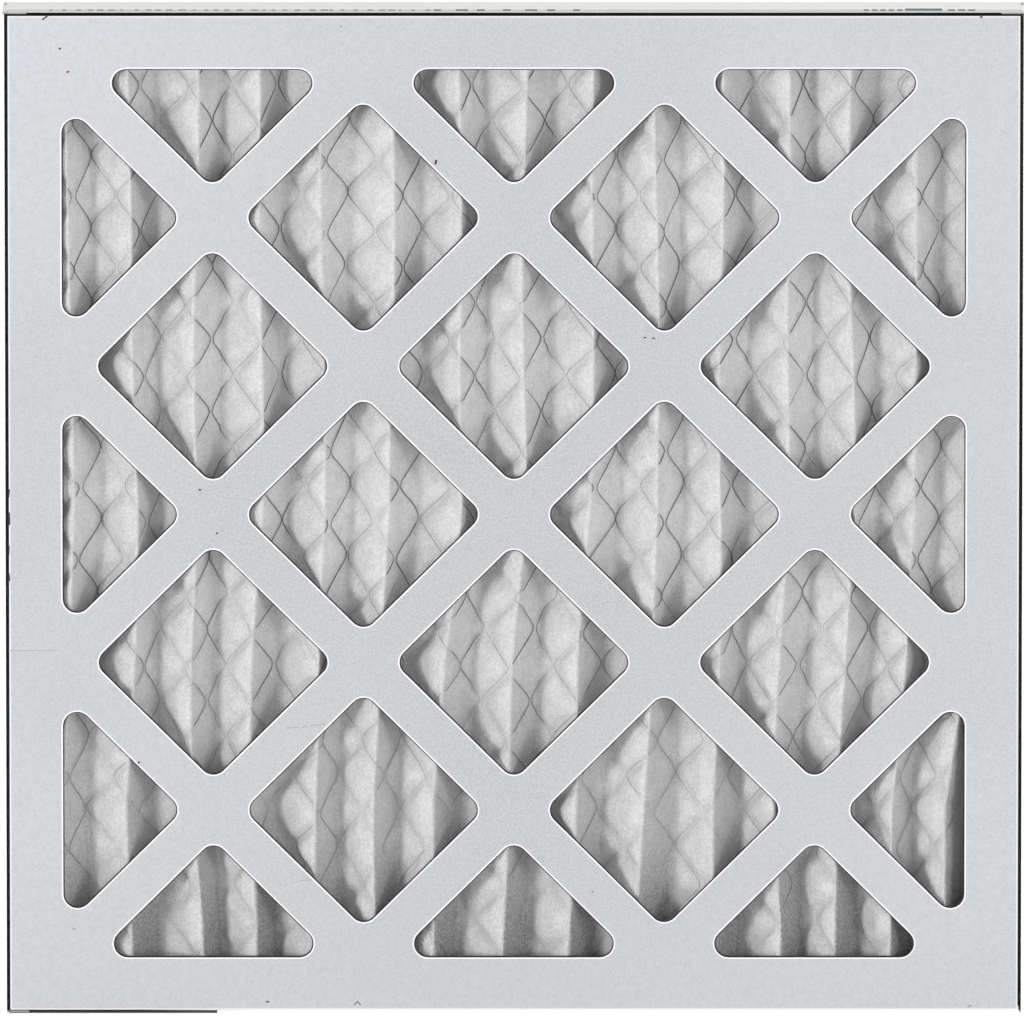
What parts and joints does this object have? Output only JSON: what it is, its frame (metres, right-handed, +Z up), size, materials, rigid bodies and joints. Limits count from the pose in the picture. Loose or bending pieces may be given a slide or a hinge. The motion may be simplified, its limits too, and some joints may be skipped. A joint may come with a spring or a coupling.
{
  "type": "pleated panel air filter",
  "caption": "Square pleated panel air filter: white fan-folded fibre sheet with metal mesh in a thin grey paperboard frame with diamond windows.",
  "frame": {"origin": "middle of the lower edge's underside, where the filter stands", "axes": "+X along the lower edge, +Y from the visible face (air leaving) to the rear face (air entering), +Z up"},
  "size_m": [0.343, 0.019, 0.3429],
  "materials": {
    "board": "clay coated, matt",
    "fibre": "soft nonwoven",
    "mesh_metal": "galvanised, dull"
  },
  "bodies": {
    "root": {"front_tray": "board", "rear_tray": "board", "pleated_media": "fibre", "expanded_metal_backing": "mesh_metal"}
  },
  "joints": []
}
